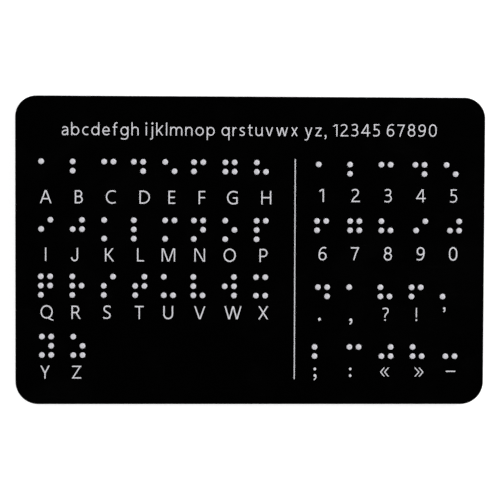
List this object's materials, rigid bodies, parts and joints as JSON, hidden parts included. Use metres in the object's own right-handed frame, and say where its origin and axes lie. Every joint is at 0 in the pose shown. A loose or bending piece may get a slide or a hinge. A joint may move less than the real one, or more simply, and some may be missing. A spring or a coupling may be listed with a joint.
{
  "type": "braille alphabet board",
  "caption": "Thin flat board with rounded corners: raised braille dots in cells for letters, digits and punctuation, a divider strip between its halves, and a flat back to rest on.",
  "frame": {"origin": "middle of the flat back, at the bottom centre of the bounding box", "axes": "+X along the long side, from the letters to the digits; +Y up the page; +Z out of the face, the way the dots stand"},
  "size_m": [0.1272, 0.0834, 0.0035],
  "materials": {
    "black_face": "glossy black, fine moulded grain",
    "white_dots": "smooth off-white",
    "white_line": "smooth off-white",
    "adhesive_film": "milky",
    "black_panel": "matt black"
  },
  "bodies": {
    "root": {"face_plate": "black_face", "braille_A": "white_dots", "braille_B": "white_dots", "braille_C": "white_dots", "braille_D": "white_dots", "braille_E": "white_dots", "braille_F": "white_dots", "braille_G": "white_dots", "braille_H": "white_dots", "braille_I": "white_dots", "braille_J": "white_dots", "braille_K": "white_dots", "braille_L": "white_dots", "braille_M": "white_dots", "braille_N": "white_dots", "braille_O": "white_dots", "braille_P": "white_dots", "braille_Q": "white_dots", "braille_R": "white_dots", "braille_S": "white_dots", "braille_T": "white_dots", "braille_U": "white_dots", "braille_V": "white_dots", "braille_W": "white_dots", "braille_X": "white_dots", "braille_Y": "white_dots", "braille_Z": "white_dots", "braille_1": "white_dots", "braille_2": "white_dots", "braille_3": "white_dots", "braille_4": "white_dots", "braille_5": "white_dots", "braille_6": "white_dots", "braille_7": "white_dots", "braille_8": "white_dots", "braille_9": "white_dots", "braille_0": "white_dots", "braille_period": "white_dots", "braille_comma": "white_dots", "braille_question_mark": "white_dots", "braille_exclamation_mark": "white_dots", "braille_apostrophe": "white_dots", "braille_semicolon": "white_dots", "braille_colon": "white_dots", "braille_opening_quote": "white_dots", "braille_closing_quote": "white_dots", "braille_hyphen": "white_dots", "divider_strip": "white_line", "adhesive_film": "adhesive_film", "back_panel": "black_panel"}
  },
  "joints": []
}
